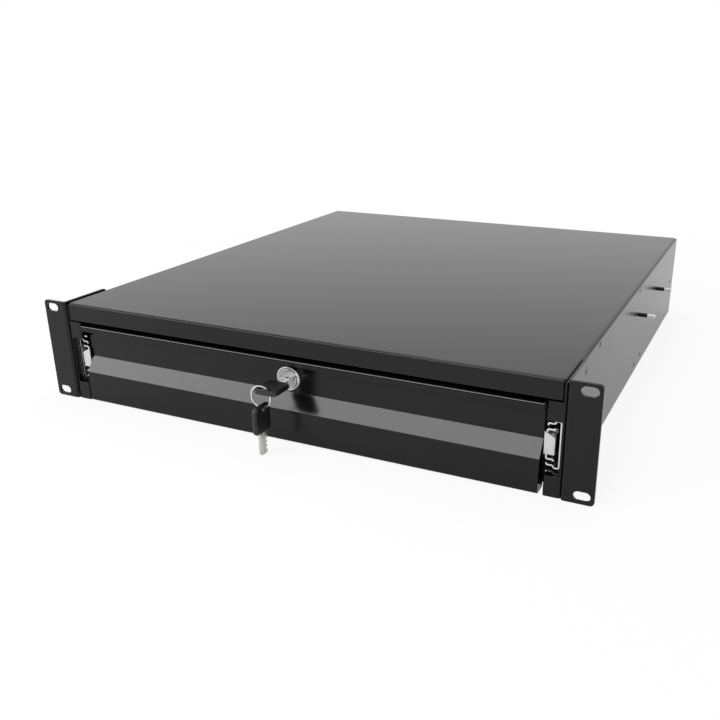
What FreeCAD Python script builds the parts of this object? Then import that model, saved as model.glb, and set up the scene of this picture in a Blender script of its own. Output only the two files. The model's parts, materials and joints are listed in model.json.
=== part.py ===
import FreeCAD, Part
import math
import os
from types import SimpleNamespace

import Sketcher

# Lockable sliding drawer, two rack units high, for a 19 inch equipment rack.
#
# Frame: X to the right, Y to the back, Z up, in millimetres. The origin is the centre of the
# rack ears' slot pattern, on the ears' front plane. Heights below are written from the bottom
# edge of the ears, and every sub-part's placement then lowers it by half the ears' height.
#
# The case is a top cover, two side walls, a rear panel and a crossbar. The drawer is a folded
# tray with a folded front panel. It runs on two three-member ball slides, and a cam lock in the
# front panel turns its cam up behind a strike that hangs from the cover.

SIZES = {
    # rack ears
    "rack_height": 88.1,
    "ear_width": 23.3,
    "ear_steel": 2.0,
    "ear_flange": 50.0,
    "ear_corner": 3.0,
    "slot_inset": 14.55,
    "slot_edge": 5.95,
    "slot_length": 12.0,
    "slot_width": 7.0,
    "ear_screw_first": 14.0,
    "ear_screw_pitch": 28.0,
    "ear_screw_edge": 8.3,
    # case
    "case_width": 436.0,
    "case_clearance": 0.8,
    "case_setback": 1.5,
    "case_back": 480.0,
    "steel": 1.2,
    "bend": 2.0,
    "seam": 1.6,
    "side_seam": 0.2,
    "cover_flange": 15.0,
    "brow_relief": 1.8,
    "stile_width": 13.0,
    "stile_gap": 1.5,
    "stile_lip": 3.0,
    "window_low": 16.0,
    "window_high": 56.6,
    "window_rim": 2.2,
    "rear_flange": 12.0,
    "floor_flange": 15.0,
    "floor_start": 16.0,
    "crossbar_start": 22.0,
    "crossbar_width": 40.0,
    # screws, rivets and holes of the case
    "screw_diameter": 3.0,
    "head_diameter": 6.0,
    "head_height": 1.6,
    "recess_length": 2.6,
    "recess_width": 0.8,
    "recess_depth": 0.8,
    "rivet_diameter": 4.0,
    "fit_gap": 0.15,
    "wall_hole": 4.4,
    "cover_screw_y": 93.3,
    "cover_screw_pitch": 161.4,
    "cover_screw_drop": 4.7,
    "rear_screw_low": 20.0,
    "rear_screw_drop": 6.3,
    "low_hole_y": 262.0,
    "low_hole_pitch": 30.4,
    "low_hole_z": 9.5,
    "rear_hole_inset": 25.7,
    "rear_hole_z": 43.2,
    "stud_y": 276.0,
    "stud_pitch": 100.0,
    "stud_z": 54.0,
    "stud_diameter": 4.0,
    "stud_reach": 12.5,
    # ball slides
    "slide_front": 7.0,
    "slide_rear_gap": 23.0,
    "slide_centre": 36.8,
    "slide_gap": 12.7,
    "slide_steel": 1.2,
    "slide_bend": 1.8,
    "inner_rail_height": 23.4,
    "middle_step": 1.9,
    "outer_step": 1.6,
    "web_gap": 1.0,
    "race_inset": 0.5,
    "ball_diameter": 3.2,
    "ball_gap": 0.05,
    "ball_pitch": 30.0,
    "cage_length": 110.0,
    "cage_steel": 0.6,
    "cage_gap": 0.2,
    "slide_rivet_inset": 25.0,
    "rail_block_height": 17.0,
    "rail_block_depth": 9.0,
    "rail_block_rise": 1.2,
    "rail_block_slope": 4.0,
    "rail_plug_height": 12.0,
    # drawer
    "tray_floor": 3.4,
    "tray_drop": 5.7,
    "tray_start": 14.0,
    "tray_rear_gap": 28.0,
    "tray_rim": 7.0,
    "panel_inset": 2.1,
    "panel_bottom": 0.8,
    "panel_top_gap": 3.8,
    "panel_recess": 8.5,
    "lip_height": 4.4,
    "lip_overhang": 1.3,
    "band_height": 13.0,
    "band_drop": 28.7,
    "panel_flange": 12.0,
    # lock
    "lock_drop": 17.0,
    "lock_flange_diameter": 20.5,
    "lock_flange_thickness": 3.0,
    "rim_bevel": 0.7,
    "rim_width": 1.9,
    "rim_groove": 0.5,
    "lock_diameter": 18.0,
    "lock_rear": 29.0,
    "lock_nut_width": 24.0,
    "lock_nut_thickness": 3.0,
    "bore_diameter": 14.0,
    "plug_sink": 0.2,
    "running_gap": 0.05,
    "cam_length": 24.0,
    "cam_width": 14.0,
    "cam_thickness": 2.0,
    "cam_square": 6.0,
    "cam_gap": 0.2,
    "strike_overlap": 4.2,
    "strike_width": 40.0,
    "strike_foot": 18.0,
    "strike_gap": 2.0,
    # keys
    "bow_length": 22.0,
    "bow_width": 20.0,
    "bow_thickness": 4.0,
    "bow_round": 3.5,
    "bow_step": 0.8,
    "bow_shoulder": 5.7,
    "blade_length": 18.3,
    "blade_width": 8.4,
    "blade_thickness": 2.0,
    "blade_root": 6.0,
    "groove_width": 1.6,
    "groove_depth": 0.4,
    "notch_diameter": 2.4,
    "notch_first": 4.0,
    "notch_pitch": 3.6,
    "bow_hole": 5.0,
    "bow_hole_edge": 3.7,
    "bow_hole_side": 1.3,
    "ring_radius": 8.5,
    "ring_wire": 1.2,
}

doc = FreeCAD.newDocument("rack_drawer")
sheet = doc.addObject("Spreadsheet::Sheet", "Sizes")
for row, (name, number) in enumerate(SIZES.items(), 1):
    sheet.set(f"A{row}", name)
    sheet.set(f"B{row}", str(number))
    sheet.setAlias(f"B{row}", name)
doc.recompute()


# ---- sizes and shapes ------------------------------------------------------------------------

class Size:
    """A length that carries its value and the spreadsheet formula that gives it."""

    def __init__(self, value, formula=None):
        self.value = float(value)
        self.formula = formula or repr(float(value))

    def __add__(self, other):
        other = as_size(other)
        return Size(self.value + other.value, f"({self.formula} + {other.formula})")

    def __sub__(self, other):
        other = as_size(other)
        return Size(self.value - other.value, f"({self.formula} - {other.formula})")

    def __mul__(self, other):
        other = as_size(other)
        return Size(self.value * other.value, f"({self.formula} * {other.formula})")

    def __truediv__(self, other):
        other = as_size(other)
        return Size(self.value / other.value, f"({self.formula} / {other.formula})")

    def __neg__(self):
        return Size(-self.value, f"(0 - {self.formula})")

    def root(self):
        return Size(math.sqrt(self.value), f"sqrt({self.formula})")

    def __radd__(self, other):
        return as_size(other) + self

    def __rsub__(self, other):
        return as_size(other) - self

    def __rmul__(self, other):
        return as_size(other) * self


def as_size(amount):
    return amount if isinstance(amount, Size) else Size(amount)


size = SimpleNamespace(**{name: Size(number, f"Sizes.{name}") for name, number in SIZES.items()})

V = FreeCAD.Vector
AXES = {"X": V(1, 0, 0), "Y": V(0, 1, 0), "Z": V(0, 0, 1)}
# a sketch drawn across an axis: its own x and y stand for the other two axes, in X, Y, Z order
ACROSS = {
    "X": FreeCAD.Rotation(V(0, 1, 0), V(0, 0, 1), V(1, 0, 0)),
    "Y": FreeCAD.Rotation(V(1, 0, 0), V(0, 0, 1), V(0, -1, 0)),
    "Z": FreeCAD.Rotation(),
}
ALONG = {
    "X": FreeCAD.Rotation(V(0, 1, 0), 90),
    "Y": FreeCAD.Rotation(V(1, 0, 0), -90),
    "Z": FreeCAD.Rotation(),
}
ORIGIN_PLANES = {"X": "YZ_Plane", "Y": "XZ_Plane", "Z": "XY_Plane"}

sub_parts = []


def bind(target, prop, amount):
    target.setExpression(prop, as_size(amount).formula)


def place(target, x=0, y=0, z=0):
    for letter, amount in zip("xyz", (x, y, z)):
        bind(target, f"Placement.Base.{letter}", amount)


def flip(side, span):
    """The span of X on the right side, or its mirror image on the left."""
    return span if side > 0 else (-span[1], -span[0])


def around(centre, width):
    return (centre - width / 2, centre + width / 2)


def inset(span, margin):
    return (span[0] + margin, span[1] - margin)


def towards(way, start, length):
    """The span of a length from its start, along the axis or against it."""
    return (start, start + length) if way > 0 else (start - length, start)


def block(name, x, y, z):
    box = doc.addObject("Part::Box", name)
    for prop, span in (("Length", x), ("Width", y), ("Height", z)):
        bind(box, prop, as_size(span[1]) - span[0])
    place(box, x[0], y[0], z[0])
    return box


def position(axis, along, across):
    """The point at `along` on an axis and `across` on the two others, in X, Y, Z order."""
    point = list(across)
    point.insert("XYZ".index(axis), along)
    return point


def rod(name, axis, diameter, span, centre):
    cylinder = doc.addObject("Part::Cylinder", name)
    cylinder.Placement.Rotation = ALONG[axis]
    bind(cylinder, "Radius", diameter / 2)
    bind(cylinder, "Height", as_size(span[1]) - span[0])
    place(cylinder, *position(axis, span[0], centre))
    return cylinder


def taper(name, axis, diameters, span, centre):
    """A round piece whose diameter changes evenly from one end of its span to the other."""
    cone = doc.addObject("Part::Cone", name)
    cone.Placement.Rotation = ALONG[axis]
    bind(cone, "Radius1", diameters[0] / 2)
    bind(cone, "Radius2", diameters[1] / 2)
    bind(cone, "Height", as_size(span[1]) - span[0])
    place(cone, *position(axis, span[0], centre))
    return cone


def hexagon(name, axis, width, span, centre):
    """A nut or bolt head of the given width across its flats."""
    prism = doc.addObject("Part::Prism", name)
    prism.Placement.Rotation = ALONG[axis]
    prism.Polygon = 6
    bind(prism, "Circumradius", width / math.sqrt(3))
    bind(prism, "Height", as_size(span[1]) - span[0])
    place(prism, *position(axis, span[0], centre))
    return prism


def group(name, pieces):
    compound = doc.addObject("Part::Compound", name)
    compound.Links = list(pieces)
    return compound


def fuse(name, pieces):
    union = doc.addObject("Part::MultiFuse", name)
    union.Shapes = list(pieces)
    return union


def cut(name, base, tools):
    tools = list(tools)
    result = doc.addObject("Part::Cut", name)
    result.Base = base
    result.Tool = tools[0] if len(tools) == 1 else fuse(f"{name}_tools", tools)
    return result


def screw(name, pieces, axis, face, centre):
    """A screw of a head and a shank, with a cross recess in the face of its head."""
    recess = (face - size.recess_depth, face + 1)
    arms = [(size.recess_length, size.recess_width), (size.recess_width, size.recess_length)]
    tools = [prism(f"{name}_recess", axis, rectangle(around(centre[0], a), around(centre[1], b)), recess)
             for a, b in arms]
    return cut(f"{name}_driven", fuse(name, pieces), tools)


def fix_point(sketch, geometry, end, point):
    """Hold a sketch point at a place given by two sizes."""
    for kind, amount in zip(("DistanceX", "DistanceY"), point):
        amount = as_size(amount)
        constraint = Sketcher.Constraint(kind, -1, 1, geometry, end, amount.value)
        bind(sketch, f"Constraints[{sketch.addConstraint(constraint)}]", amount)


def draw_path(sketch, points, radii, closed=False):
    """Lines from point to point, some corners rounded; sizes of the sheet hold every point."""
    corners = [V(as_size(x).value, as_size(y).value, 0) for x, y in points]
    starts = corners if closed else corners[:-1]
    ends = corners[1:] + corners[:1] if closed else corners[1:]
    starts, ends, arcs = list(starts), list(ends), {}
    for index, radius in radii.items():
        before = (corners[index - 1] - corners[index]).normalize()
        after = (corners[(index + 1) % len(corners)] - corners[index]).normalize()
        half_angle = before.getAngle(after) / 2
        reach = as_size(radius).value / math.tan(half_angle)
        depth = as_size(radius).value * (1 / math.sin(half_angle) - 1)
        middle = corners[index] + (before + after).normalize() * depth
        ends[index - 1] = corners[index] + before * reach
        starts[index] = corners[index] + after * reach
        arcs[index] = Part.Arc(ends[index - 1], middle, starts[index])
    lines = [sketch.addGeometry(Part.LineSegment(a, b), False) for a, b in zip(starts, ends)]
    if not closed:
        fix_point(sketch, lines[0], 1, points[0])
        fix_point(sketch, lines[-1], 2, points[-1])
    for index in range(0 if closed else 1, len(lines)):
        before, after = lines[index - 1], lines[index]
        if index not in arcs:
            sketch.addConstraint(Sketcher.Constraint("Coincident", before, 2, after, 1))
            fix_point(sketch, after, 1, points[index])
            continue
        arc = sketch.addGeometry(arcs[index], False)
        forward = sketch.getPoint(arc, 1).isEqual(ends[index - 1], 1e-6)
        first, last = (1, 2) if forward else (2, 1)
        corner = sketch.addGeometry(Part.Point(corners[index]), True)
        fix_point(sketch, corner, 1, points[index])
        sketch.addConstraint(Sketcher.Constraint("PointOnObject", corner, 1, before))
        sketch.addConstraint(Sketcher.Constraint("PointOnObject", corner, 1, after))
        sketch.addConstraint(Sketcher.Constraint("Tangent", before, 2, arc, first))
        sketch.addConstraint(Sketcher.Constraint("Tangent", arc, last, after, 1))
        radius = as_size(radii[index])
        rounding = sketch.addConstraint(Sketcher.Constraint("Radius", arc, radius.value))
        bind(sketch, f"Constraints[{rounding}]", radius)


def extrude(name, axis, profile, span):
    solid = doc.addObject("Part::Extrusion", name)
    solid.Base = profile
    solid.DirMode = "Custom"
    solid.Dir = AXES[axis]
    solid.Solid = True
    bind(solid, "LengthFwd", as_size(span[1]) - span[0])
    return solid


def sketch_across(name, axis, start):
    sketch = doc.addObject("Sketcher::SketchObject", f"{name}_sketch")
    sketch.Placement.Rotation = ACROSS[axis]
    place(sketch, *position(axis, start, (0, 0)))
    return sketch


def prism(name, axis, points, span, radii={}):
    """A solid of constant section: a closed outline pushed along an axis."""
    sketch = sketch_across(name, axis, span[0])
    draw_path(sketch, points, radii, closed=True)
    return extrude(name, axis, sketch, span)


def rectangle(x, y):
    return [(x[0], y[0]), (x[1], y[0]), (x[1], y[1]), (x[0], y[1])]


def folded(name, axis, points, radii, span, thickness):
    """Sheet metal bent along an axis: an open path, thickened on one side and extruded.

    A positive thickness lies on the right of the path, a negative one on its left."""
    sketch = sketch_across(name, axis, span[0])
    draw_path(sketch, points, radii)
    strip = doc.addObject("Part::Offset2D", f"{name}_strip")
    strip.Source = sketch
    strip.Mode = "Skin"
    strip.Fill = True
    bind(strip, "Value", thickness)
    doc.recompute([strip])
    # an open path has no outside, so look which side the strip took and turn it if need be
    start, end = (V(as_size(x).value, as_size(y).value, 0) for x, y in points[:2])
    ahead = (end - start).normalize()
    probe = (start + end) / 2 + V(ahead.y, -ahead.x, 0) * (as_size(thickness).value / 2)
    if not strip.Shape.isInside(sketch.Placement.multVec(probe), 1e-3, True):
        bind(strip, "Value", -thickness)
    return extrude(name, axis, strip, span)


def mirrored(name, source):
    """The same piece on the other side of the drawer."""
    copy = doc.addObject("Part::Mirroring", name)
    copy.Source = source
    copy.Normal = AXES["X"]
    return copy


def both_sides(name, pieces):
    right = group(f"{name}_right", pieces)
    return group(name, [right, mirrored(f"{name}_left", right)])


def sub_part(label, shape_object):
    """Name a sub-part and lower it from the ears' bottom edge to the slot pattern's centre."""
    shape_object.Label = label
    place(shape_object, z=-size.rack_height / 2)
    sub_parts.append(shape_object)
    return shape_object


def pair_of_sub_parts(label, right):
    """A right-hand sub-part and its mirror image on the left."""
    sub_part(f"right_{label}", right)
    left = mirrored(f"left_{label}", right)
    left.Label = f"left_{label}"
    sub_parts.append(left)


# ---- shared planes and spans -----------------------------------------------------------------

half_case = size.case_width / 2
inner_wall = half_case - size.steel
half_rack = half_case + size.ear_width
front = size.case_setback
case_height = size.rack_height - size.case_clearance
wall_top = case_height - size.seam
half_cover = inner_wall - size.side_seam
cover_low = case_height - size.cover_flange
cover_rear = size.case_back - size.steel * 2
tray_half = inner_wall - size.slide_gap
panel_top = cover_low - size.panel_top_gap + size.side_seam
tray_top = panel_top - size.tray_drop
tray_rear = size.case_back - size.tray_rear_gap
lock_height = panel_top - size.lock_drop
band_high = panel_top - size.band_drop
band_low = band_high - size.band_height
slide_rear = size.case_back - size.slide_rear_gap
slide_middle = (size.slide_front + slide_rear) / 2
screw_hole = size.screw_diameter + size.fit_gap * 2
rivet_hole = size.rivet_diameter + size.fit_gap * 2


# ---- rack ears -------------------------------------------------------------------------------

ear_front = (0, size.ear_steel)
ear_side = (half_case, half_case + size.ear_steel)
ear_screw_places = [
    (size.ear_screw_first + size.ear_screw_pitch * step, z)
    for step in (0, 1)
    for z in (size.ear_screw_edge, size.rack_height - size.ear_screw_edge)
]


def make_ear():
    sheet_path = [(half_rack, 0), (half_case, 0), (half_case, size.ear_flange)]
    ear_bend = size.ear_steel + 0.4
    ear = folded("ear_fold", "Z", sheet_path, {1: ear_bend}, (0, size.rack_height), size.ear_steel)
    ear_x = (half_case, half_rack)
    ear_y = (0, size.ear_flange)
    ear_z = (0, size.rack_height)
    outline = doc.addObject("Part::MultiCommon", "ear_outline")
    rounded = {1: size.ear_corner, 2: size.ear_corner}
    outline.Shapes = [
        ear,
        prism("ear_face", "Y", rectangle(ear_x, ear_z), ear_y, rounded),
        prism("ear_return", "X", rectangle(ear_y, ear_z), ear_x, rounded),
    ]
    tools = []
    straight = size.slot_length - size.slot_width
    for step, way in enumerate((-1, 1)):
        slot_x = half_case + size.slot_inset
        slot_z = size.rack_height / 2 + (size.rack_height / 2 - size.slot_edge) * way
        slot_y = (-size.ear_steel, size.ear_steel * 2)
        tools.append(block(f"ear_slot_{step}", around(slot_x, straight), slot_y,
                           around(slot_z, size.slot_width)))
        for end in (-1, 1):
            centre = (slot_x + straight / 2 * end, slot_z)
            tools.append(rod(f"ear_slot_{step}_end", "Y", size.slot_width, slot_y, centre))
    seat = (screw_hole, size.head_diameter + size.fit_gap * 2)
    for y, z in ear_screw_places:
        tools.append(taper("ear_screw_hole", "X", seat, ear_side, (y, z)))
    return cut("ear", outline, tools)


def make_ear_screws():
    screws = []
    head_x = (half_case + size.fit_gap, half_case + size.ear_steel - size.fit_gap)
    diameters = (size.screw_diameter, size.head_diameter)
    for y, z in ear_screw_places:
        head = taper("ear_screw_head", "X", diameters, head_x, (y, z))
        shank = rod("ear_screw_shank", "X", size.screw_diameter, (inner_wall, head_x[0]), (y, z))
        screws.append(screw("ear_screw", [head, shank], "X", head_x[1], (y, z)))
    return both_sides("ear_screws", screws)


pair_of_sub_parts("rack_ear", make_ear())
sub_part("ear_screws", make_ear_screws())


# ---- case ------------------------------------------------------------------------------------

cover_screw_places = [(size.cover_screw_y + size.cover_screw_pitch * step,
                       case_height - size.cover_screw_drop) for step in (0, 1)]
rear_screw_places = [(half_case - size.rear_flange / 2, z)
                     for z in (size.rear_screw_low, cover_low - size.rear_screw_drop)]
stud_places = [(size.stud_y + size.stud_pitch * step, size.stud_z) for step in (0, 1)]
slide_rivet_places = [(y, size.slide_centre)
                      for y in (size.slide_front + size.slide_rivet_inset, slide_middle,
                                slide_rear - size.slide_rivet_inset)]
open_hole_places = [
    (size.low_hole_y, size.low_hole_z),
    (size.low_hole_y + size.low_hole_pitch, size.low_hole_z),
    (size.case_back - size.rear_hole_inset, size.rear_hole_z),
]
floor_flange_x = half_case - size.floor_flange
crossbar_y = (size.crossbar_start, size.crossbar_start + size.crossbar_width)
crossbar_rivet_places = [(half_case - size.floor_flange / 2, y)
                         for y in (crossbar_y[0] + size.crossbar_width / 4,
                                   crossbar_y[1] - size.crossbar_width / 4)]
window_x = half_case - size.window_rim


def make_side_wall():
    stile_x = half_case - size.stile_width
    sheet_path = [
        (stile_x, front + size.stile_lip),
        (stile_x, front),
        (half_case, front),
        (half_case, size.case_back),
        (half_case - size.rear_flange, size.case_back),
    ]
    bends = {1: size.steel + 0.3, 2: size.bend, 3: size.bend}
    upright = folded("wall_fold", "Z", sheet_path, bends, (0, wall_top), -size.steel)
    floor_y = (size.floor_start, cover_rear)
    fold_height = size.bend * 3
    floor_path = [(half_case, fold_height), (half_case, 0), (floor_flange_x, 0)]
    floor_flange = folded("wall_floor", "Y", floor_path, {1: size.bend}, floor_y, size.steel)
    corner = block("wall_corner", (inner_wall - 1, half_case + 1), floor_y, (-1, size.bend))
    wall = fuse("wall_sheet", [cut("wall_upright", upright, [corner]), floor_flange])
    opening_x = (stile_x - 1, window_x)
    stile_y = (front - 1, front + size.stile_lip + 1)
    stile_top = cover_low + size.side_seam - size.stile_gap
    tools = [
        block("wall_window", opening_x, stile_y, (size.window_low, size.window_high)),
        block("wall_brow_space", opening_x, stile_y, (stile_top, case_height)),
    ]
    through = (inner_wall - 1, half_case + 1)
    for y, z in open_hole_places + cover_screw_places:
        tools.append(rod("wall_hole", "X", size.wall_hole, through, (y, z)))
    for y, z in ear_screw_places:
        tools.append(rod("wall_ear_hole", "X", screw_hole, through, (y, z)))
    rivet_depth = (inner_wall - 1, inner_wall + size.steel * 0.8)
    for y, z in slide_rivet_places:
        tools.append(rod("wall_slide_hole", "X", rivet_hole, rivet_depth, (y, z)))
    for x, z in rear_screw_places:
        tools.append(rod("wall_rear_hole", "Y", screw_hole, (cover_rear, size.case_back + 1), (x, z)))
    for x, y in crossbar_rivet_places:
        tools.append(rod("wall_floor_hole", "Z", screw_hole, (-1, size.steel * 2), (x, y)))
    return cut("wall", wall, tools)


def make_top_cover():
    side_path = [(-half_cover, cover_low), (-half_cover, case_height),
                 (half_cover, case_height), (half_cover, cover_low)]
    bends = {1: size.bend, 2: size.bend}
    side_y = (front + size.brow_relief, cover_rear - size.brow_relief)
    sides = folded("cover_sides", "Y", side_path, bends, side_y, size.steel)
    brow_path = [(front, cover_low + size.side_seam), (front, case_height),
                 (cover_rear, case_height), (cover_rear, cover_low)]
    brow_x = (size.brow_relief - half_cover, half_cover - size.brow_relief)
    brow = folded("cover_brow", "X", brow_path, bends, brow_x, size.steel)
    tools = []
    for side in (-1, 1):
        for y, z in cover_screw_places:
            through = flip(side, (half_cover - size.steel * 2, half_cover + 1))
            tools.append(rod("cover_hole", "X", screw_hole, through, (y, z)))
    return cut("cover", fuse("cover_sheet", [sides, brow]), tools)


def make_rear_panel():
    rear = size.case_back - size.steel
    low = size.steel + size.side_seam
    sheet_path = [(rear, case_height - size.steel - size.side_seam), (rear, low),
                  (rear - size.floor_flange, low)]
    across = (size.bend - half_case, half_case - size.bend)
    sheet = folded("rear_fold", "X", sheet_path, {1: size.bend}, across, size.steel)
    tools = []
    for side in (-1, 1):
        for x, z in rear_screw_places:
            tools.append(rod("rear_hole", "Y", screw_hole, (cover_rear - 1, rear + 1), (x * side, z)))
    return cut("rear", sheet, tools)


def make_crossbar():
    half = half_case - size.bend
    bar = block("crossbar_bar", (-half, half), crossbar_y, (size.steel, size.steel * 2))
    tools = []
    for side in (-1, 1):
        for x, y in crossbar_rivet_places:
            tools.append(rod("crossbar_hole", "Z", screw_hole, (0, size.steel * 3), (x * side, y)))
    return cut("crossbar", bar, tools)


def make_strike():
    """The lip behind which the lock's cam turns up, hanging from the cover."""
    top = case_height - size.steel
    leg = size.lock_rear + size.cam_gap - size.strike_gap - size.steel
    low = lock_height + size.cam_length - size.strike_overlap
    sheet_path = [(leg + size.strike_foot, top), (leg, top), (leg, low)]
    width = (-size.strike_width / 2, size.strike_width / 2)
    return folded("strike", "X", sheet_path, {1: size.bend}, width, -size.steel)


def make_cover_screws():
    screws = []
    for y, z in cover_screw_places:
        head_diameter = size.wall_hole - size.fit_gap * 2
        head = rod("cover_head", "X", head_diameter, (half_cover, half_case - size.side_seam), (y, z))
        shank = rod("cover_shank", "X", size.screw_diameter, (half_cover - size.steel * 2, half_cover),
                    (y, z))
        screws.append(screw("cover_screw", [head, shank], "X", half_case - size.side_seam, (y, z)))
    return both_sides("cover_screws", screws)


def make_rear_screws():
    screws = []
    back = size.case_back
    for x, z in rear_screw_places:
        head = rod("rear_head", "Y", size.head_diameter, (back, back + size.head_height), (x, z))
        shank = rod("rear_shank", "Y", size.screw_diameter, (cover_rear - 1, back), (x, z))
        screws.append(screw("rear_screw", [head, shank], "Y", back + size.head_height, (x, z)))
    return both_sides("rear_screws", screws)


def make_crossbar_rivets():
    rivets = []
    top = size.steel * 2
    for x, y in crossbar_rivet_places:
        head = rod("crossbar_head", "Z", size.head_diameter, (top, top + size.steel / 2), (x, y))
        shank = rod("crossbar_shank", "Z", size.screw_diameter, (size.side_seam, top), (x, y))
        rivets.append(fuse("crossbar_rivet", [head, shank]))
    return both_sides("crossbar_rivets", rivets)


def make_studs():
    reach = (half_case, half_case + size.stud_reach)
    return group("studs", [rod("stud", "X", size.stud_diameter, reach, (y, z))
                           for y, z in stud_places])


def make_slide_rivets():
    reach = (inner_wall - size.slide_steel, inner_wall + size.steel * 0.75)
    return both_sides("slide_rivets", [rod("slide_rivet", "X", size.rivet_diameter, reach, (y, z))
                                       for y, z in slide_rivet_places])


pair_of_sub_parts("side_wall", make_side_wall())
sub_part("top_cover", make_top_cover())
sub_part("rear_panel", make_rear_panel())
sub_part("bottom_crossbar", make_crossbar())
sub_part("lock_strike", make_strike())
sub_part("cover_screws", make_cover_screws())
sub_part("rear_screws", make_rear_screws())
sub_part("crossbar_rivets", make_crossbar_rivets())
sub_part("slide_rivets", make_slide_rivets())
pair_of_sub_parts("studs", make_studs())


# ---- ball slides -----------------------------------------------------------------------------
# Rail sections are drawn from the side wall's inner face inwards (t) and from the slide's
# centre line up and down (s); both halves of a section are the same.

ball_room = size.ball_diameter + size.ball_gap * 2
inner_half = size.inner_rail_height / 2
middle_lip = inner_half + ball_room + size.slide_steel
middle_half = middle_lip + size.middle_step
outer_half = middle_half + ball_room + size.slide_steel
outer_lip = outer_half - size.outer_step
outer_race_s = middle_half + ball_room / 2
inner_race_s = inner_half + ball_room / 2
middle_web_t = size.slide_steel + size.web_gap
outer_race_t = middle_web_t + size.slide_steel * 2
inner_race_t = size.slide_gap - size.slide_steel - size.race_inset - size.ball_diameter / 2
lip_face_t = inner_race_t + size.ball_diameter / 2 + size.ball_gap * 3 + size.slide_steel


def both_halves(upper):
    """A whole section from the points of its upper half, web first, in sketch coordinates."""
    points = [(inner_wall - t, size.slide_centre - s) for t, s in reversed(upper)]
    return points + [(inner_wall - t, size.slide_centre + s) for t, s in upper]


def rail(name, upper, radii, thickness):
    last = len(upper) * 2 - 1
    mirrored_radii = {last - index: radius for index, radius in radii.items()}
    radii = {**mirrored_radii, **radii}
    return folded(name, "Y", both_halves(upper), radii, (size.slide_front, slide_rear), thickness)


def row_of_balls(t, s):
    balls = []
    for step in (-1.5, -0.5, 0.5, 1.5):
        for side in (-1, 1):
            ball = doc.addObject("Part::Sphere", "ball")
            bind(ball, "Radius", size.ball_diameter / 2)
            place(ball, inner_wall - t, slide_middle + size.ball_pitch * step,
                  size.slide_centre + s * side)
            balls.append(ball)
    return balls


def make_cage(name, web_t, end_t, ball_t, ball_s):
    """A channel with a row of holes along each arm that keeps the balls apart."""
    arm = ball_s + size.cage_steel / 2
    cage_y = around(slide_middle, size.cage_length)
    upper = [(web_t, arm), (end_t, arm)]
    bends = {1: size.cage_steel * 2, 2: size.cage_steel * 2}
    channel = folded(f"{name}_channel", "Y", both_halves(upper), bends, cage_y, -size.cage_steel)
    hole_z = (size.slide_centre - outer_half, size.slide_centre + outer_half)
    tools = [rod(f"{name}_hole", "Z", ball_room, hole_z,
                 (inner_wall - ball_t, slide_middle + size.ball_pitch * step))
             for step in (-1.5, -0.5, 0.5, 1.5)]
    return cut(name, channel, tools)


def make_outer_rail():
    step_t = outer_race_t + size.ball_diameter / 2 + 1
    upper = [(0, outer_half), (step_t, outer_half), (step_t + size.outer_step / 2, outer_lip),
             (size.slide_gap - 0.8, outer_lip)]
    count = len(upper)
    radii = {count: size.slide_bend, count + 1: size.slide_bend, count + 2: 0.6}
    section = rail("outer_rail_fold", upper, radii, -size.slide_steel)
    web = (inner_wall - size.slide_steel - 1, inner_wall + 1)
    tools = [rod("outer_rail_hole", "X", rivet_hole, web, (y, z)) for y, z in slide_rivet_places]
    return cut("outer_rail", section, tools)


def make_middle_rail():
    step_t = outer_race_t + size.ball_diameter / 2 + 0.4
    upper = [(middle_web_t, middle_half), (step_t, middle_half),
             (step_t + size.middle_step / 2, middle_lip), (lip_face_t, middle_lip),
             (lip_face_t, middle_lip - size.middle_step - 0.4)]
    count = len(upper)
    radii = {count: size.slide_bend, count + 1: size.slide_bend, count + 2: 0.6,
             count + 3: size.slide_steel + 0.3}
    return rail("middle_rail_fold", upper, radii, -size.slide_steel)


def make_inner_rail():
    hook_t = inner_race_t - size.ball_diameter / 2 - size.ball_gap
    upper = [(size.slide_gap, inner_half), (hook_t, inner_half), (hook_t - 0.45, inner_half + 0.8)]
    count = len(upper)
    radii = {count: size.slide_bend, count + 1: 0.3}
    section = rail("inner_rail_fold", upper, radii, size.slide_steel)
    web = (tray_half - 1, tray_half + size.slide_steel + 1)
    tools = [rod("inner_rail_hole", "X", screw_hole, web, (y, z)) for y, z in slide_rivet_places]
    return cut("inner_rail", section, tools)


def make_rail_end_blocks():
    """The white end blocks that close the inner rails, with a sloping top."""
    web_x = inner_wall - size.slide_gap + size.slide_steel
    cap_x = (web_x - size.rail_block_depth / 4, web_x + size.rail_block_depth * 0.6)
    low, high = around(size.slide_centre + size.rail_block_rise, size.rail_block_height)
    outline = [(cap_x[0], low), (cap_x[1], low), (cap_x[1], high - size.rail_block_slope),
               (cap_x[0], high)]
    cap = prism("rail_cap", "Y", outline, (size.slide_front - size.slide_steel, size.slide_front))
    plug = block("rail_plug", (web_x + size.fit_gap, inner_wall - inner_race_t + size.ball_diameter / 2),
                 (size.slide_front, size.slide_front + size.rail_block_depth),
                 around(size.slide_centre, size.rail_plug_height))
    return both_sides("rail_end_blocks", [fuse("rail_end_block", [cap, plug])])


def make_tray_screws():
    screws = []
    head_x = tray_half + size.slide_steel
    for y, z in slide_rivet_places:
        head = rod("tray_head", "X", size.head_diameter, (head_x, head_x + size.head_height), (y, z))
        shank = rod("tray_shank", "X", size.screw_diameter, (tray_half - size.steel, head_x), (y, z))
        screws.append(screw("tray_screw", [head, shank], "X", head_x + size.head_height, (y, z)))
    return both_sides("tray_screws", screws)


outer_cage_web = size.slide_steel + size.cage_gap
inner_cage_web = middle_web_t + size.slide_steel + size.cage_gap * 4
outer_cage_end = outer_race_t + ball_room / 2 + 0.5
inner_cage_end = inner_race_t + ball_room / 4 + 0.3

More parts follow.
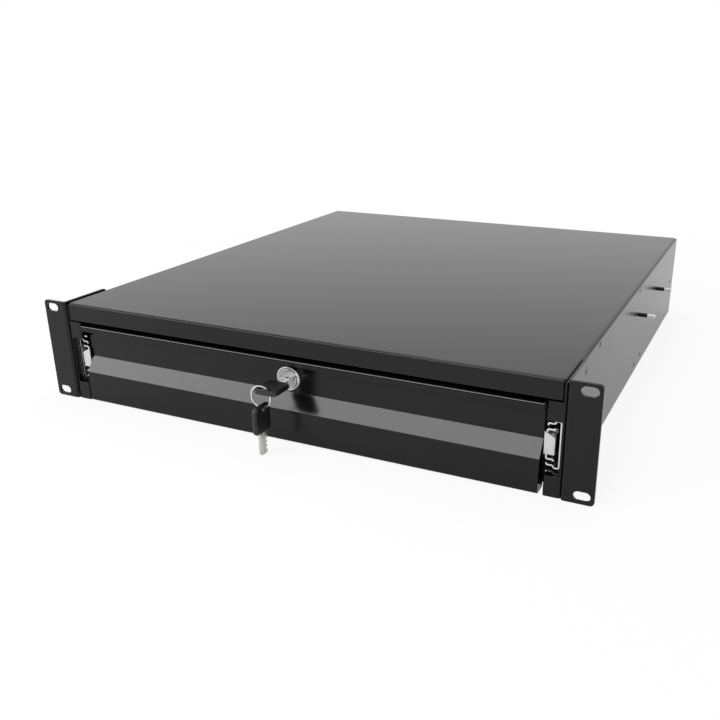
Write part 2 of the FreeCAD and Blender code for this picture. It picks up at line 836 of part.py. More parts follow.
pair_of_sub_parts("outer_rail", make_outer_rail())
pair_of_sub_parts("outer_cage", make_cage("outer_cage", outer_cage_web, outer_cage_end,
                                          outer_race_t, outer_race_s))
pair_of_sub_parts("outer_balls", group("outer_balls", row_of_balls(outer_race_t, outer_race_s)))
pair_of_sub_parts("middle_rail", make_middle_rail())
pair_of_sub_parts("inner_cage", make_cage("inner_cage", inner_cage_web, inner_cage_end,
                                          inner_race_t, inner_race_s))
pair_of_sub_parts("inner_balls", group("inner_balls", row_of_balls(inner_race_t, inner_race_s)))
pair_of_sub_parts("inner_rail", make_inner_rail())
sub_part("rail_end_blocks", make_rail_end_blocks())
sub_part("tray_screws", make_tray_screws())


# ---- drawer ----------------------------------------------------------------------------------

panel_half = tray_half - size.panel_inset
lock_hole = size.lock_diameter + size.fit_gap * 2
lock_axis = (0, lock_height)
tray_height = tray_top - size.tray_floor
panel_screw_places = [(panel_half - size.panel_flange / 2, z)
                      for z in (size.tray_floor + tray_height / 4, tray_top - tray_height / 4)]


def make_tray():
    outer = [(size.tray_rim - tray_half, tray_top), (-tray_half, tray_top),
             (-tray_half, size.tray_floor), (tray_half, size.tray_floor),
             (tray_half, tray_top), (tray_half - size.tray_rim, tray_top)]
    corners = (1, 2, 3, 4)
    bends = {corner: size.bend for corner in corners}
    sides = folded("tray_sides", "Y", outer, bends, (size.tray_start, tray_rear), -size.steel)
    inside = (size.steel - tray_half, tray_half - size.steel)
    walls = []
    for name, face, way in (("front", size.tray_start, 1), ("rear", tray_rear, -1)):
        sheet_path = [(face + size.tray_rim * way, tray_top), (face, tray_top),
                      (face, size.tray_floor), (face + size.tray_rim * way, size.tray_floor)]
        walls.append(folded(f"tray_{name}", "X", sheet_path, {1: size.bend, 2: size.bend},
                            inside, -size.steel * way))
    wall_y = (size.tray_start - 1, size.tray_start + size.steel + 1)
    tools = [rod("tray_lock_hole", "Y", lock_hole + 0.7, wall_y, lock_axis)]
    for side in (-1, 1):
        wall_x = flip(side, (tray_half - size.steel - 1, tray_half + 1))
        for y, z in slide_rivet_places:
            tools.append(rod("tray_rail_hole", "X", screw_hole, wall_x, (y, z)))
        for x, z in panel_screw_places:
            tools.append(rod("tray_panel_hole", "Y", screw_hole, wall_y, (x * side, z)))
    return cut("tray", fuse("tray_sheet", [sides] + walls), tools)


def make_front_panel():
    recess = size.panel_recess
    lip_low = panel_top - size.lip_height
    flange_front = size.tray_start - size.steel
    sheet_path = [
        (size.steel, lip_low),
        (size.steel, panel_top - size.steel),
        (recess, panel_top - size.steel),
        (recess, band_high),
        (0, band_low),
        (0, size.panel_bottom),
        (flange_front, size.panel_bottom),
    ]
    bends = {1: 0.4, 2: 0.4, 3: 0.8, 4: size.bend, 5: size.steel + 0.3}
    half = panel_half
    face = folded("panel_fold", "X", sheet_path, bends, (-half, half), -size.steel)
    overhang = half + size.lip_overhang
    lip = block("panel_lip", (-overhang, overhang), (0, size.steel),
                (lip_low, panel_top - size.steel / 2))
    inside = size.steel / 2
    return_outline = [
        (inside, size.panel_bottom + inside),
        (flange_front, size.panel_bottom + inside),
        (flange_front, panel_top - inside),
        (recess + inside, panel_top - inside),
        (recess + inside, band_high),
        (inside, band_low),
    ]
    pieces = [face, lip]
    flange_z = (size.tray_floor + size.steel, tray_top - size.steel)
    for side in (-1, 1):
        return_x = flip(side, (half - size.steel, half))
        flange_x = flip(side, (half - size.panel_flange, half))
        pieces.append(prism("panel_return", "X", return_outline, return_x))
        pieces.append(block("panel_flange", flange_x, (flange_front, size.tray_start), flange_z))
    tools = [rod("panel_lock_hole", "Y", lock_hole, (0, size.tray_start), lock_axis)]
    for side in (-1, 1):
        for x, z in panel_screw_places:
            through = (flange_front - 1, size.tray_start + 1)
            tools.append(rod("panel_screw_hole", "Y", screw_hole, through, (x * side, z)))
    return cut("panel", fuse("panel_sheet", pieces), tools)


def make_panel_screws():
    screws = []
    seat = size.tray_start + size.steel
    for x, z in panel_screw_places:
        head = rod("panel_head", "Y", size.head_diameter, (seat, seat + size.head_height), (x, z))
        shank = rod("panel_shank", "Y", size.screw_diameter, (size.tray_start - size.steel, seat),
                    (x, z))
        screws.append(screw("panel_screw", [head, shank], "Y", seat + size.head_height, (x, z)))
    return both_sides("panel_screws", screws)


sub_part("drawer_tray", make_tray())
sub_part("front_panel", make_front_panel())
sub_part("panel_screws", make_panel_screws())


# ---- lock ------------------------------------------------------------------------------------
# The keyway lies flat at rest with the cam to the right, unlocked; a quarter turn brings the cam
# up behind the strike.

flange_face = size.panel_recess - size.lock_flange_thickness
plug_front = flange_face + size.plug_sink
blade_tip = size.blade_length - size.bow_shoulder
cam_front = size.lock_rear + size.cam_gap
cam_rear = cam_front + size.cam_thickness
keyway_depth = blade_tip + size.fit_gap * 2


def make_lock_body():
    barrel = rod("lock_barrel", "Y", size.lock_diameter, (size.panel_recess - 1, size.lock_rear),
                 lock_axis)
    bevelled = flange_face + size.rim_bevel
    flange = rod("lock_flange", "Y", size.lock_flange_diameter, (bevelled, size.panel_recess), lock_axis)
    face_diameter = size.lock_flange_diameter - size.rim_bevel * 2
    bevel = taper("lock_bevel", "Y", (face_diameter, size.lock_flange_diameter),
                  (flange_face, bevelled), lock_axis)
    bore = rod("lock_bore", "Y", size.bore_diameter, (flange_face - 1, size.lock_rear + 1), lock_axis)
    rim_inside = size.lock_flange_diameter - size.rim_width * 2
    groove_y = (flange_face - 1, flange_face + size.rim_groove)
    groove = cut("rim_groove", rod("rim_disc", "Y", rim_inside, groove_y, lock_axis),
                 [rod("rim_core", "Y", rim_inside - size.rim_groove * 2, groove_y, lock_axis)])
    return cut("lock", fuse("lock_shell", [barrel, flange, bevel]), [bore, groove])


def make_lock_nut():
    nut_y = (size.panel_recess + size.steel, size.panel_recess + size.steel + size.lock_nut_thickness)
    nut = hexagon("nut_blank", "Y", size.lock_nut_width, nut_y, lock_axis)
    hole = rod("nut_hole", "Y", lock_hole, (nut_y[0] - 1, nut_y[1] + 1), lock_axis)
    return cut("nut", nut, [hole])


def make_plug():
    plug_diameter = size.bore_diameter - size.running_gap * 2
    plug = rod("plug_barrel", "Y", plug_diameter, (plug_front, size.lock_rear), lock_axis)
    square = block("plug_square", around(0, size.cam_square), (size.lock_rear - 1, cam_rear),
                   around(lock_height, size.cam_square))
    keyway = block("plug_keyway", around(0, size.blade_width + size.fit_gap * 2),
                   (plug_front - 1, keyway_depth),
                   around(lock_height, size.blade_thickness + size.fit_gap * 2))
    bolt_hole = rod("plug_bolt_hole", "Y", screw_hole, (size.lock_rear - 6, cam_rear + 1), lock_axis)
    return cut("plug", fuse("plug_solid", [plug, square]), [keyway, bolt_hole])


def make_cam():
    cam_y = (cam_front, cam_rear)
    half = size.cam_width / 2
    outline = rectangle((-half, size.cam_length), around(lock_height, size.cam_width))
    corners = {0: half * 0.9, 1: half / 2, 2: half / 2, 3: half * 0.9}
    arm = prism("cam_arm", "Y", outline, cam_y, corners)
    opening = size.cam_square + size.fit_gap
    hole = block("cam_hole", around(0, opening), (cam_front - 1, cam_rear + 1),
                 around(lock_height, opening))
    return cut("cam", arm, [hole])


def make_cam_bolt():
    head = hexagon("bolt_head", "Y", size.screw_diameter * 2.8,
                   (cam_rear, cam_rear + size.screw_diameter), lock_axis)
    shank = rod("bolt_shank", "Y", size.screw_diameter, (size.lock_rear - 5, cam_rear), lock_axis)
    return fuse("cam_bolt_solid", [head, shank])


sub_part("lock_body", make_lock_body())
sub_part("lock_nut", make_lock_nut())
sub_part("lock_plug", make_plug())
sub_part("lock_cam", make_cam())
sub_part("cam_bolt", make_cam_bolt())


# ---- keys ------------------------------------------------------------------------------------
# Both keys are drawn from the bow's shoulder, with the blade on one side and the bow on the other.

hole_reach = size.bow_length - size.bow_hole_edge
ring_y = -size.bow_shoulder - hole_reach
# the ring hangs on two edges of the bow's upper face: its left edge and the left of its hole
bow_top = lock_height + size.bow_thickness / 2
left_of_bow = size.bow_width / 2 - size.bow_step
left_of_hole = size.bow_hole_side - size.bow_hole / 2
ring_x = (left_of_hole - left_of_bow) / 2
half_seat = (left_of_hole + left_of_bow) / 2
ring_inside = size.ring_radius - size.ring_wire / 2 - size.running_gap
ring_z = bow_top - (ring_inside * ring_inside - half_seat * half_seat).root()
wire_low = ring_z - size.ring_radius
# the spare key rests where the ring curves up at the two faces of its bow
wire_rise = size.bow_thickness * size.bow_thickness / (size.ring_radius * 8)
spare_hole_z = wire_low + size.ring_wire / 2 + wire_rise + size.running_gap - size.bow_hole / 2


def make_key(name, axis, way, shoulder, across, hole_at, middle):
    """A stepped bow with its hole and the slot that holds the blade, and the blade itself.

    `axis` is the key's thickness and `middle` its middle plane. The blade runs from `shoulder` to
    the side that `way` gives, and `across` is the key's centre line.
    """
    bow_along = towards(-way, shoulder, size.bow_length)
    bow_across = around(across, size.bow_width)
    outline = rectangle(bow_across, bow_along)
    raised = rectangle(inset(bow_across, size.bow_step), inset(bow_along, size.bow_step))
    thick = around(middle, size.bow_thickness)
    web = inset(thick, size.bow_step)
    rounds = dict.fromkeys(range(4), size.bow_round)
    grip = fuse(f"{name}_grip", [prism(f"{name}_web", axis, outline, web, rounds),
                                 prism(f"{name}_raised", axis, raised, thick, rounds)])
    blade_across = around(across, size.blade_width)
    blade_along = towards(way, shoulder - size.blade_root * way, size.blade_root + size.blade_length)
    blade_thick = around(middle, size.blade_thickness)
    blade = rectangle(blade_across, blade_along)
    bow = cut(f"{name}_bow_cut", grip, [
        rod(f"{name}_hole", axis, size.bow_hole, (thick[0] - 1, thick[1] + 1), hole_at),
        prism(f"{name}_slot", axis, blade, blade_thick),
    ])
    tip_corners = (2, 3) if way > 0 else (0, 1)
    shank = prism(f"{name}_shank", axis, blade, blade_thick,
                  dict.fromkeys(tip_corners, size.blade_thickness))
    groove = rectangle(around(across, size.groove_width),
                       towards(way, shoulder, size.blade_length + 1))
    faces = [(blade_thick[1] - size.groove_depth, blade_thick[1] + 1),
             (blade_thick[0] - 1, blade_thick[0] + size.groove_depth)]
    tools = [prism(f"{name}_groove", axis, groove, face) for face in faces]
    for step in range(3):
        from_shoulder = size.blade_length - size.notch_first - size.notch_pitch * step
        notch_at = (blade_across[1], shoulder + from_shoulder * way)
        tools.append(rod(f"{name}_notch", axis, size.notch_diameter,
                         (blade_thick[0] - 1, blade_thick[1] + 1), notch_at))
    return bow, cut(f"{name}_blade_cut", shank, tools)


key_bow, key_blade = make_key(
    "key", "Z", way=1, shoulder=-size.bow_shoulder, across=as_size(0),
    hole_at=(size.bow_hole_side, ring_y), middle=lock_height,
)
spare_key_bow, spare_key_blade = make_key(
    "spare_key", "X", way=-1, shoulder=spare_hole_z - hole_reach, across=ring_y - size.bow_hole_side,
    hole_at=(ring_y, spare_hole_z), middle=ring_x,
)


def make_ring():
    ring = doc.addObject("Part::Torus", "ring_wire")
    bind(ring, "Radius1", size.ring_radius)
    bind(ring, "Radius2", size.ring_wire / 2)
    ring.Placement.Rotation = ALONG["Y"]
    place(ring, ring_x, ring_y, ring_z)
    return group("ring", [ring])


sub_part("key_blade", key_blade)
sub_part("key_bow", key_bow)
sub_part("key_ring", make_ring())
sub_part("spare_key_blade", spare_key_blade)
sub_part("spare_key_bow", spare_key_bow)


# ---- check and export ------------------------------------------------------------------------

doc.recompute()
for item in doc.Objects:
    if {"Invalid", "Error"} & set(item.State):
        raise RuntimeError(f"{item.Label}: {item.State}")
os.makedirs("parts", exist_ok=True)
for item in sub_parts:
    if item.Shape.isNull() or not item.Shape.isValid():
        raise RuntimeError(f"{item.Label}: no valid shape")
    item.Shape.exportStep(f"parts/{item.Label}.step")
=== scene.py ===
import json
import math

import bmesh
import bpy
from mathutils import Matrix, Vector


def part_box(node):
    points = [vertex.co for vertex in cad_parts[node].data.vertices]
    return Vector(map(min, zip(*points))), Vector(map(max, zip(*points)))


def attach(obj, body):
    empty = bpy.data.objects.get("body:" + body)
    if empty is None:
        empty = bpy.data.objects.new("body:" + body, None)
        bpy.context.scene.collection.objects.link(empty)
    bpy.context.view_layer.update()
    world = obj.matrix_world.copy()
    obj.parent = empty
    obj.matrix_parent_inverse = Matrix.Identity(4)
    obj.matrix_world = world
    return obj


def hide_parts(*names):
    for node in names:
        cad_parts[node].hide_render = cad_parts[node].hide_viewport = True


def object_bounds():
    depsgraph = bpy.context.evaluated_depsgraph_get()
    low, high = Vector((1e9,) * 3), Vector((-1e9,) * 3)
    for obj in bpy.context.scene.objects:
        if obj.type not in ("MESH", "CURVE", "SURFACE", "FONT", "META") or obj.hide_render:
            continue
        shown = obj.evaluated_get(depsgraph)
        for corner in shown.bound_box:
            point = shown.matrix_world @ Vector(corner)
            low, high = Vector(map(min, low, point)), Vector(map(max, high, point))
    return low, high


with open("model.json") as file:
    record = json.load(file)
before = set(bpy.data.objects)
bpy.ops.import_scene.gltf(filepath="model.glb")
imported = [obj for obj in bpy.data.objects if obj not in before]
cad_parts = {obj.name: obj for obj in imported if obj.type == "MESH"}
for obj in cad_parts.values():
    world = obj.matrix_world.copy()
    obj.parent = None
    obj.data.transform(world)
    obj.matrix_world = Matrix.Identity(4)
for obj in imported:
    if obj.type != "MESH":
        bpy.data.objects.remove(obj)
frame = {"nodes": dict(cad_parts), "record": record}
cad_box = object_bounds()
nodes = frame["nodes"]
scene = bpy.context.scene
MM = 0.001
NOISE_LOW, NOISE_HIGH = 0.3, 0.7    # a noise texture's values mostly lie between these


# ---- materials -------------------------------------------------------------------------------

def new_material(name):
    """A material with its principled shader and the object's own coordinates, in metres."""
    material = bpy.data.materials.new(name)
    material.use_nodes = True
    tree = material.node_tree
    shader = tree.nodes["Principled BSDF"]
    place = tree.nodes.new("ShaderNodeTexCoord")
    return material, tree, shader, place.outputs["Object"]


def noise(tree, place, scale, detail=3.0, stretch=(1, 1, 1)):
    """A noise texture, drawn out along an axis where its stretch is small."""
    mapping = tree.nodes.new("ShaderNodeMapping")
    mapping.inputs["Scale"].default_value = stretch
    tree.links.new(place, mapping.inputs["Vector"])
    texture = tree.nodes.new("ShaderNodeTexNoise")
    texture.inputs["Scale"].default_value = scale
    texture.inputs["Detail"].default_value = detail
    tree.links.new(mapping.outputs["Vector"], texture.inputs["Vector"])
    return texture.outputs["Fac"]


def spread(tree, source, low, high, socket):
    """Turn a 0 to 1 texture into a range of numbers on a shader socket."""
    ranged = tree.nodes.new("ShaderNodeMapRange")
    ranged.inputs["From Min"].default_value = NOISE_LOW
    ranged.inputs["From Max"].default_value = NOISE_HIGH
    ranged.inputs["To Min"].default_value = low
    ranged.inputs["To Max"].default_value = high
    tree.links.new(source, ranged.inputs["Value"])
    tree.links.new(ranged.outputs["Result"], socket)


def tint(tree, source, dark, light, socket):
    """Turn a 0 to 1 texture into a blend of two colours on a shader socket."""
    ramp = tree.nodes.new("ShaderNodeValToRGB")
    ramp.color_ramp.elements[0].position = NOISE_LOW
    ramp.color_ramp.elements[1].position = NOISE_HIGH
    ramp.color_ramp.elements[0].color = (*dark, 1)
    ramp.color_ramp.elements[1].color = (*light, 1)
    tree.links.new(source, ramp.inputs["Fac"])
    tree.links.new(ramp.outputs["Color"], socket)


def bump(tree, shader, source, strength, distance):
    """Let a texture raise the surface by up to a distance, in metres."""
    node = tree.nodes.new("ShaderNodeBump")
    node.inputs["Strength"].default_value = strength
    node.inputs["Distance"].default_value = distance
    tree.links.new(source, node.inputs["Height"])
    tree.links.new(node.outputs["Normal"], shader.inputs["Normal"])


def surface(name, dark, light, rough, grain, relief, metallic=0, stretch=(1, 1, 1), specular=0.5):
    """A finish whose colour drifts broadly and whose roughness and relief follow a fine grain."""
    material, tree, shader, place = new_material(name)
    shader.inputs["Specular IOR Level"].default_value = specular
    fine = noise(tree, place, grain, stretch=stretch)
    broad = noise(tree, place, scale=14, detail=2)
    tint(tree, broad, dark, light, shader.inputs["Base Color"])
    spread(tree, fine, *rough, shader.inputs["Roughness"])
    bump(tree, shader, fine, *relief)
    shader.inputs["Metallic"].default_value = metallic
    return material


def grey(level):
    """A grey with a trace of blue in it."""
    return (level, level, level * 1.01)


finishes = {
    "black_powder_coat": surface(
        "satin_black_powder_coat", dark=grey(0.003), light=grey(0.005), rough=(0.13, 0.2),
        grain=1600, relief=(0.2, 0.02 * MM), specular=0.27),
    "zinc_plate": surface(
        "bright_zinc_plate", dark=grey(0.62), light=grey(0.76), rough=(0.2, 0.34),
        grain=500, relief=(0.15, 0.02 * MM), metallic=1, stretch=(1, 0.06, 1)),
    "bearing_steel": surface(
        "polished_bearing_steel", dark=grey(0.7), light=grey(0.78), rough=(0.06, 0.12),
        grain=400, relief=(0.05, 0.01 * MM), metallic=1),
    "white_plastic": surface(
        "moulded_light_plastic", dark=grey(0.56), light=grey(0.62), rough=(0.4, 0.5),
        grain=900, relief=(0.2, 0.03 * MM)),
    "lock_chrome": surface(
        "plated_lock_rim", dark=grey(0.54), light=grey(0.62), rough=(0.14, 0.24),
        grain=600, relief=(0.1, 0.01 * MM), metallic=1),
    "lock_nickel": surface(
        "satin_nickel_cylinder", dark=(0.33, 0.325, 0.32), light=(0.42, 0.415, 0.41),
        rough=(0.28, 0.42), grain=900, relief=(0.2, 0.02 * MM), metallic=1),
    "key_steel": surface(
        "nickel_plated_blade", dark=(0.52, 0.52, 0.51), light=(0.62, 0.62, 0.6),
        rough=(0.2, 0.34), grain=700, relief=(0.15, 0.02 * MM), metallic=1, stretch=(1, 1, 0.1)),
    "ring_wire": surface(
        "plated_spring_wire", dark=grey(0.7), light=grey(0.78), rough=(0.12, 0.2),
        grain=600, relief=(0.1, 0.01 * MM), metallic=1),
    "key_plastic": surface(
        "moulded_black_plastic", dark=grey(0.006), light=grey(0.01), rough=(0.3, 0.42),
        grain=1200, relief=(0.3, 0.04 * MM)),
}
slots = {entry["node"]: entry["material_slot"] for entry in frame["record"]["subparts"]}
for name, node in nodes.items():
    node.data.materials.clear()
    node.data.materials.append(finishes[slots[name]])


# ---- pieces with more detail than their solids -----------------------------------------------

body_of_node = {node: body for body, members in frame["record"]["behaviour"]["bodies"].items()
                for node in members}


def add_piece(name, mesh, node):
    """A finished piece that stands for a CAD node and moves with the node's body."""
    piece = bpy.data.objects.new(name, mesh)
    scene.collection.objects.link(piece)
    slot = slots[node]
    mesh.materials.clear()
    mesh.materials.append(finishes[slot])
    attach(piece, body_of_node[node])
    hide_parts(node)
    return piece


SHEET_EDGE, MOULDED_EDGE = 0.25 * MM, 0.3 * MM
RAIL_EDGE, TURNED_EDGE = 0.2 * MM, 0.12 * MM


def whole_faces(mesh):
    """Join a mesh's triangles into its real faces, with smooth shading over every edge."""
    weld, flat = 0.002 * MM, math.radians(0.2)
    shape = bmesh.new()
    shape.from_mesh(mesh)
    bmesh.ops.remove_doubles(shape, verts=shape.verts, dist=weld)
    bmesh.ops.dissolve_limit(shape, angle_limit=flat, verts=shape.verts, edges=shape.edges)
    for edge in shape.edges:
        edge.smooth = True
    shape.to_mesh(mesh)
    shape.free()
    mesh.shade_smooth()


def softened(node, width):
    """A node's own shape with every sharp edge rounded over, as coating or moulding leaves it."""
    mesh = nodes[node].data.copy()
    whole_faces(mesh)
    rough = bpy.data.objects.new(f"{node}_rough", mesh)
    scene.collection.objects.link(rough)
    bevel = rough.modifiers.new("round_over", "BEVEL")
    bevel.width = width
    bevel.segments = 2
    bevel.limit_method = "ANGLE"
    bevel.angle_limit = math.radians(30)
    bevel.use_clamp_overlap = True
    flats = rough.modifiers.new("flat_faces_stay_flat", "WEIGHTED_NORMAL")
    flats.weight = 100
    depsgraph = bpy.context.evaluated_depsgraph_get()
    finished = bpy.data.meshes.new_from_object(rough.evaluated_get(depsgraph))
    bpy.data.objects.remove(rough)
    return add_piece(f"{node}_rounded", finished, node)


def black_paint_and_painted_shade(piece, chosen):
    """Give the faces that a test picks the black coat, as the piece's second material: real black
    paint on the studs, painted shade in the lock's groove.
    """
    piece.data.materials.append(finishes["black_powder_coat"])
    for face in piece.data.polygons:
        if chosen(face.center):
            face.material_index = 1


def add_lock_body():
    """The lock's body, with painted shade: the narrow groove inside its rim gets the black coat to
    stand for the shade that falls in it.
    """
    low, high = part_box("lock_body")
    middle_x, middle_z = (low[0] + high[0]) / 2, (low[2] + high[2]) / 2
    rim_inside = (high[0] - low[0]) / 2 - 1 * MM
    groove_top, groove_floor = 0.15 * MM, 0.6 * MM

    # painted shade: the faces this picks are coated black to stand for the shade inside the groove
    def in_painted_shade_groove(centre):
        depth = centre.y - low[1]
        out = math.hypot(centre.x - middle_x, centre.z - middle_z)
        return groove_top < depth < groove_floor and out < rim_inside

    # the black in the lock's groove is painted shade, not a black part or fill
    black_paint_and_painted_shade(softened("lock_body", TURNED_EDGE), in_painted_shade_groove)


def tube_mesh(name, sections, sharpest=40):
    """A skin over a row of sections, each a ring of points."""
    shape = bmesh.new()
    rings = [[shape.verts.new(point) for point in section] for section in sections]
    count = len(rings[0])
    for first, second in zip(rings, rings[1:]):
        for step in range(count):
            following = (step + 1) % count
            shape.faces.new((first[step], first[following], second[following], second[step]))
    shape.faces.new(rings[0][::-1])
    shape.faces.new(rings[-1])
    bmesh.ops.recalc_face_normals(shape, faces=shape.faces)
    mesh = bpy.data.meshes.new(name)
    shape.to_mesh(mesh)
    shape.free()
    mesh.shade_smooth()
    mesh.set_sharp_from_angle(angle=math.radians(sharpest))
    return mesh


def add_panel_edge():
    """The narrow slope along the top of the drawer's panel, pressed at the angle of its band."""
    node = "front_panel"
    low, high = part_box(node)
    slope, width, depth = math.radians(33), 0.8 * MM, 1.2 * MM
    outline = [(depth, -depth), (0, -depth), (0, -width * math.cos(slope)),
               (width * math.sin(slope), 0), (depth, 0)]
    sections = [[(x, low[1] + y, high[2] + z) for y, z in outline] for x in (low[0], high[0])]
    add_piece("panel_edge", tube_mesh("panel_edge", sections, sharpest=20), node)


THREAD_PITCH, THREAD_DEPTH = 0.7 * MM, 0.4 * MM
CREST_FLAT, PLAIN_PAINTED = 0.2 * THREAD_DEPTH, 0.3 * THREAD_DEPTH
CHAMFER, CHAMFER_SLOPE = 0.55 * MM, 0.9
PLAIN_SHARE = 0.45    # of a stud's length, from the wall


def thread_radius(along, angle, length, radius):
    """A stud's radius: a plain painted base, then the thread, and a chamfered end."""
    if along < length * PLAIN_SHARE:
        return radius - PLAIN_PAINTED
    turn = (along / THREAD_PITCH - angle / math.tau) % 1
    crest = abs(turn * 2 - 1)
    thread = radius - THREAD_DEPTH * (1 - crest)
    chamfer = radius - CHAMFER + (length - along) * CHAMFER_SLOPE
    return min(thread, radius - CREST_FLAT, chamfer)


def add_stud(name, node, root, way, length, radius):
    """One stud from its root at the wall: black at its base, bright where it is threaded."""
    steps, corners = 150, 20
    sections = []
    for step in range(steps + 1):
        along = length * step / steps
        section = []
        for corner in range(corners):
            angle = math.tau * corner / corners
            reach = thread_radius(along, angle, length, radius)
            section.append((root[0] + way * along, root[1] + reach * math.cos(angle),
                            root[2] + reach * math.sin(angle)))
        sections.append(section)
    stud = add_piece(name, tube_mesh(name, sections), node)
    black_paint_and_painted_shade(stud, lambda centre: abs(centre.x - root[0]) < length * PLAIN_SHARE)


def add_studs(side):
    """The two studs of a side wall, which stand out of it to the side."""
    node = f"{side}_studs"
    low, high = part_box(node)
    radius = (high[2] - low[2]) / 2
    way, wall = (1, low[0]) if side == "right" else (-1, high[0])
    for place, centre_y in (("front", low[1] + radius), ("back", high[1] - radius)):
        add_stud(f"{side}_{place}_threaded_stud", node, (wall, centre_y, low[2] + radius), way,
                 high[0] - low[0], radius)


def clamped(value, limit):
    return max(-limit, min(limit, value))


def add_split_ring():
    """The key ring: two turns of flat spring wire side by side, with one crossing between them."""
    low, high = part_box("key_ring")
    centre = [(a + b) / 2 for a, b in zip(low, high)]
    wire = 1.2 * MM
    bulge_out, flat_out = 0.55 * wire, 0.42 * wire
    bulge_aside, flat_aside = 0.3 * wire, 0.2 * wire
    radius = (high[0] - low[0]) / 2 - wire / 2
    turns, steps_per_turn, corners = 2, 96, 12
    crossing, start = 0.07, 0.52    # in turns: how long the wire takes to cross, where it begins
    sections = []
    for step in range(int(steps_per_turn * (turns - crossing)) + 1):
        turn = step / steps_per_turn
        crossed = min(max((turn - 1 + crossing) / crossing, 0), 1)
        aside = (crossed * crossed * (3 - 2 * crossed) - 0.5) * wire / 2
        angle = math.tau * (turn + start)
        section = []
        for corner in range(corners):
            around = math.tau * corner / corners
            out = radius + clamped(math.cos(around) * bulge_out, flat_out)
            across = clamped(math.sin(around) * bulge_aside, flat_aside)
            section.append((centre[0] + out * math.cos(angle), centre[1] + aside + across,
                            centre[2] + out * math.sin(angle)))
        sections.append(section)
    add_piece("split_ring", tube_mesh("split_ring", sections), "key_ring")


for node in ("top_cover", "front_panel", "left_rack_ear", "right_rack_ear", "left_side_wall",
             "right_side_wall", "drawer_tray", "rear_panel"):
    softened(node, SHEET_EDGE)
for node in ("key_bow", "spare_key_bow", "rail_end_blocks"):
    softened(node, MOULDED_EDGE)
for side in ("left", "right"):
    for rail in ("outer_rail", "middle_rail", "inner_rail"):
        softened(f"{side}_{rail}", RAIL_EDGE)
for node in ("lock_plug", "lock_nut", "lock_cam", "key_blade", "spare_key_blade"):
    softened(node, TURNED_EDGE)
add_lock_body()
for side in ("left", "right"):
    add_studs(side)
add_split_ring()
add_panel_edge()


# ---- floor, light and camera -----------------------------------------------------------------

def combined(tree, operation, first, second):
    """Two numbers put together, the second one a socket or a plain value."""
    node = tree.nodes.new("ShaderNodeMath")
    node.operation = operation
    tree.links.new(first, node.inputs[0])
    if isinstance(second, (int, float)):
        node.inputs[1].default_value = second
    else:
        tree.links.new(second, node.inputs[1])
    return node.outputs[0]


def white_where_seen(tree, shader, output, share=1.0, mirrored=1.0):
    """Shares of plain white for camera rays and for mirrored ones; other rays see the shader."""
    path = tree.nodes.new("ShaderNodeLightPath")
    seen = combined(tree, "MULTIPLY", path.outputs["Is Camera Ray"], share)
    for ray in ("Is Glossy Ray", "Is Transmission Ray"):
        seen = combined(tree, "MAXIMUM", seen, combined(tree, "MULTIPLY", path.outputs[ray], mirrored))
    is_world = output.bl_idname == "ShaderNodeOutputWorld"
    white = tree.nodes.new("ShaderNodeBackground" if is_world else "ShaderNodeEmission")
    white.inputs["Color"].default_value = (1, 1, 1, 1)
    white.inputs["Strength"].default_value = 1
    mix = tree.nodes.new("ShaderNodeMixShader")
    tree.links.new(seen, mix.inputs[0])
    tree.links.new(shader, mix.inputs[1])
    tree.links.new(white.outputs[0], mix.inputs[2])
    tree.links.new(mix.outputs[0], output.inputs["Surface"])


def add_world():
    """Soft light from all round, which shows as plain white."""
    world = bpy.data.worlds.new("studio")
    scene.world = world
    world.use_nodes = True
    studio = world.node_tree.nodes["Background"]
    studio.inputs["Color"].default_value = (1, 1, 1, 1)
    studio.inputs["Strength"].default_value = 0.4
    white_where_seen(world.node_tree, studio.outputs[0], world.node_tree.nodes["World Output"])


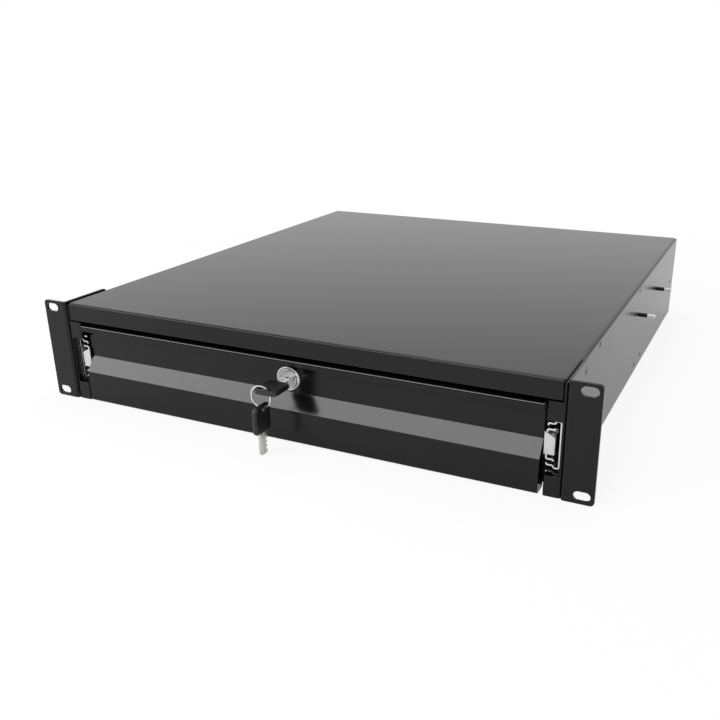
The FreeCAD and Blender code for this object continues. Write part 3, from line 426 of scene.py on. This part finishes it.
def add_floor():
    """A pale floor that fades to plain white away from the drawer."""
    low, high = cad_box
    reach = 30
    mesh = bpy.data.meshes.new("floor")
    mesh.from_pydata([(-reach, -reach, 0), (reach, -reach, 0), (reach, reach, 0), (-reach, reach, 0)],
                     [], [(0, 1, 2, 3)])
    floor = bpy.data.objects.new("floor", mesh)
    floor.location = ((low[0] + high[0]) / 2, (low[1] + high[1]) / 2, low[2])
    scene.collection.objects.link(floor)
    material, tree, shader, place = new_material("pale_floor")
    cloud = noise(tree, place, scale=3)
    tint(tree, cloud, (0.9, 0.9, 0.9), (0.94, 0.94, 0.94), shader.inputs["Base Color"])
    shader.inputs["Roughness"].default_value = 0.9
    away = tree.nodes.new("ShaderNodeVectorMath")
    away.operation = "LENGTH"
    tree.links.new(place, away.inputs[0])
    fade = tree.nodes.new("ShaderNodeMapRange")
    fade.interpolation_type = "SMOOTHSTEP"
    for socket, value in (("From Min", 0.3), ("From Max", 0.9), ("To Min", 0.88), ("To Max", 1.0)):
        fade.inputs[socket].default_value = value
    tree.links.new(away.outputs["Value"], fade.inputs["Value"])
    white_where_seen(tree, shader.outputs[0], tree.nodes["Material Output"],
                     share=fade.outputs["Result"], mirrored=0.5)
    mesh.materials.append(material)


def add_softbox(name, place, target, width, height, power):
    """A rectangular lamp that faces its target, with its width level."""
    light = bpy.data.lights.new(name, "AREA")
    light.shape = "RECTANGLE"
    light.size = width
    light.size_y = height
    light.energy = power
    lamp = bpy.data.objects.new(name, light)
    lamp.location = place
    lamp.rotation_euler = (Vector(target) - Vector(place)).to_track_quat("-Z", "Y").to_euler()
    scene.collection.objects.link(lamp)


def add_camera():
    """The camera, which stands above the drawer's front right corner."""
    place = (0.3336, -0.5029, 0.24435)
    camera = bpy.data.cameras.new("camera")
    camera.sensor_width = 36    # this and the lens in millimetres
    camera.lens = 42.05
    camera.shift_x = -0.0436
    camera.shift_y = 0.0244
    camera.clip_start = 0.01
    camera.clip_end = 100
    azimuth, elevation, roll = math.radians(25.72), math.radians(21.43), math.radians(-0.5)
    ahead = Vector((-math.sin(azimuth) * math.cos(elevation),
                    math.cos(azimuth) * math.cos(elevation), -math.sin(elevation)))
    right = Vector((math.cos(azimuth), math.sin(azimuth), 0))
    up = right.cross(ahead)
    level, upright = (math.cos(roll) * right + math.sin(roll) * up,
                      -math.sin(roll) * right + math.cos(roll) * up)
    turn = Matrix((level, upright, -ahead)).transposed()
    holder = bpy.data.objects.new("camera", camera)
    holder.matrix_world = Matrix.Translation(place) @ turn.to_4x4()
    scene.collection.objects.link(holder)
    scene.camera = holder


add_world()
add_floor()
add_softbox("overhead", place=(-0.1, 0.5, 1.6), target=(0, 0.25, 0), width=1.6, height=1.6, power=12)
add_softbox("front_strip", place=(-1.0, -1.3, 1.1), target=(-1.0, 0, 0), width=2.8, height=0.4,
            power=30)
add_camera()
scene.view_settings.view_transform = "Standard"
